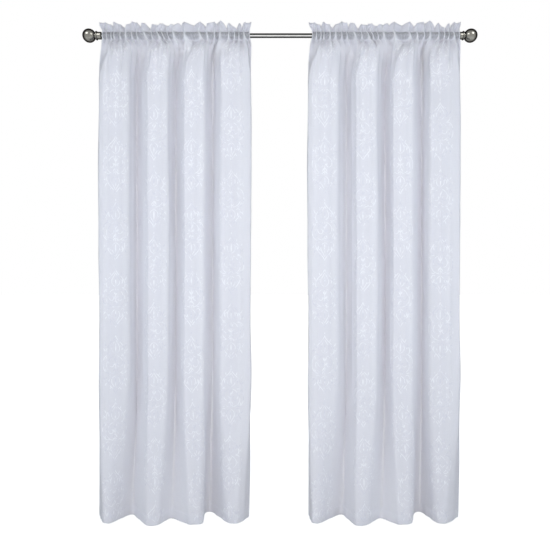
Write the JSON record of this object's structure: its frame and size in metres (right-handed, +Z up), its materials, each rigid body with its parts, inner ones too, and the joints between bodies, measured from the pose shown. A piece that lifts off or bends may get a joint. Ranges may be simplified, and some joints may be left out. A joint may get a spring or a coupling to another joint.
{
  "type": "pair of room darkening curtain panels on a curtain rod",
  "caption": "Pair of white rod-pocket curtain panels with a ruffled heading, gathered in long soft folds on a round metal rod with ball finials.",
  "frame": {"origin": "on the rod's axis, half way along the rod", "axes": "+X along the rod to the right as seen from the room, +Y from the room to the wall behind the curtains, +Z up"},
  "size_m": [1.696, 0.1446, 2.134],
  "materials": {
    "cloth": "cool white tightly woven cloth with white stitched scroll motifs, soft sheen",
    "rod_metal": "polished nickel tube",
    "finial_metal": "pewter, satin"
  },
  "bodies": {
    "root": {"panel_left": "cloth", "panel_right": "cloth", "rod": "rod_metal", "collar_left": "finial_metal", "collar_right": "finial_metal", "ball_left": "finial_metal", "ball_right": "finial_metal"}
  },
  "joints": []
}
